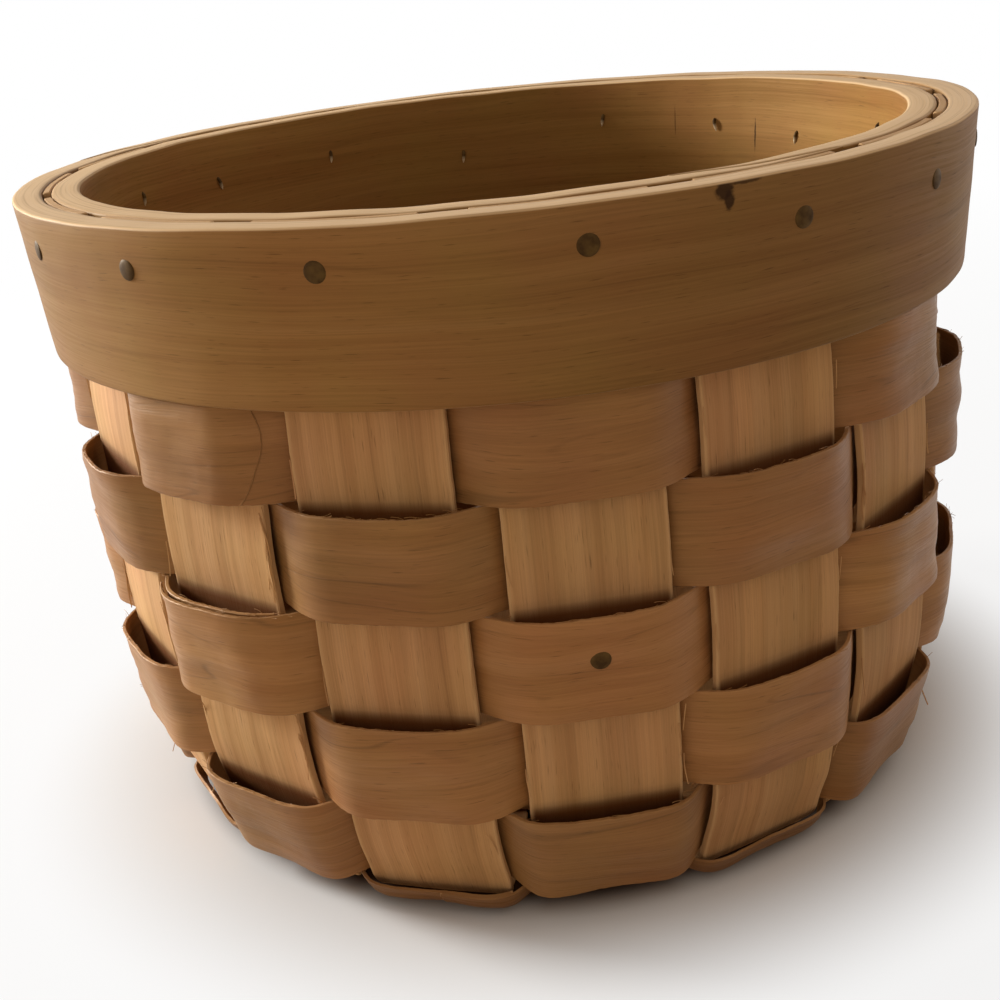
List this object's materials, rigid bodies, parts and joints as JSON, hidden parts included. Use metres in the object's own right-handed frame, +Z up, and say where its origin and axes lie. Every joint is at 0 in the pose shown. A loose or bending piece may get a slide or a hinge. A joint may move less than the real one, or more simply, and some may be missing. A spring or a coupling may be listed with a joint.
{
  "type": "planter basket",
  "caption": "Round planter basket of woven wood splints: flat stakes turned up from a woven base, bulging weavers between them, and a double wooden rim nailed through the stake ends.",
  "frame": {"origin": "on the ground under the middle of the base", "axes": "+Z up along the basket's axis, X and Y along the two ways of the base strips, -Y to the front"},
  "size_m": [0.2, 0.2, 0.138],
  "materials": {
    "stake_wood": "raw splint, grain along the strip",
    "weaver_wood": "raw splint, grain along the strip",
    "outer_band_wood": "smooth bent wood, grain round the rim",
    "inner_band_wood": "smooth bent wood, grain round the rim",
    "nail_metal": "dull, tarnished"
  },
  "bodies": {
    "root": {"stake_strip_front_back_1": "stake_wood", "stake_strip_front_back_2": "stake_wood", "stake_strip_front_back_3": "stake_wood", "stake_strip_front_back_4": "stake_wood", "stake_strip_left_right_1": "stake_wood", "stake_strip_left_right_2": "stake_wood", "stake_strip_left_right_3": "stake_wood", "stake_strip_left_right_4": "stake_wood", "weaver_row_1": "weaver_wood", "weaver_row_2": "weaver_wood", "weaver_row_3": "weaver_wood", "weaver_row_4": "weaver_wood", "weaver_row_5": "weaver_wood", "base_hoop": "weaver_wood", "rim_band_outer": "outer_band_wood", "rim_band_inner": "inner_band_wood", "rim_nail_01": "nail_metal", "rim_nail_02": "nail_metal", "rim_nail_03": "nail_metal", "rim_nail_04": "nail_metal", "rim_nail_05": "nail_metal", "rim_nail_06": "nail_metal", "rim_nail_07": "nail_metal", "rim_nail_08": "nail_metal", "rim_nail_09": "nail_metal", "rim_nail_10": "nail_metal", "rim_nail_11": "nail_metal", "rim_nail_12": "nail_metal", "rim_nail_13": "nail_metal", "rim_nail_14": "nail_metal", "rim_nail_15": "nail_metal", "rim_nail_16": "nail_metal", "weaver_tack": "nail_metal"}
  },
  "joints": []
}
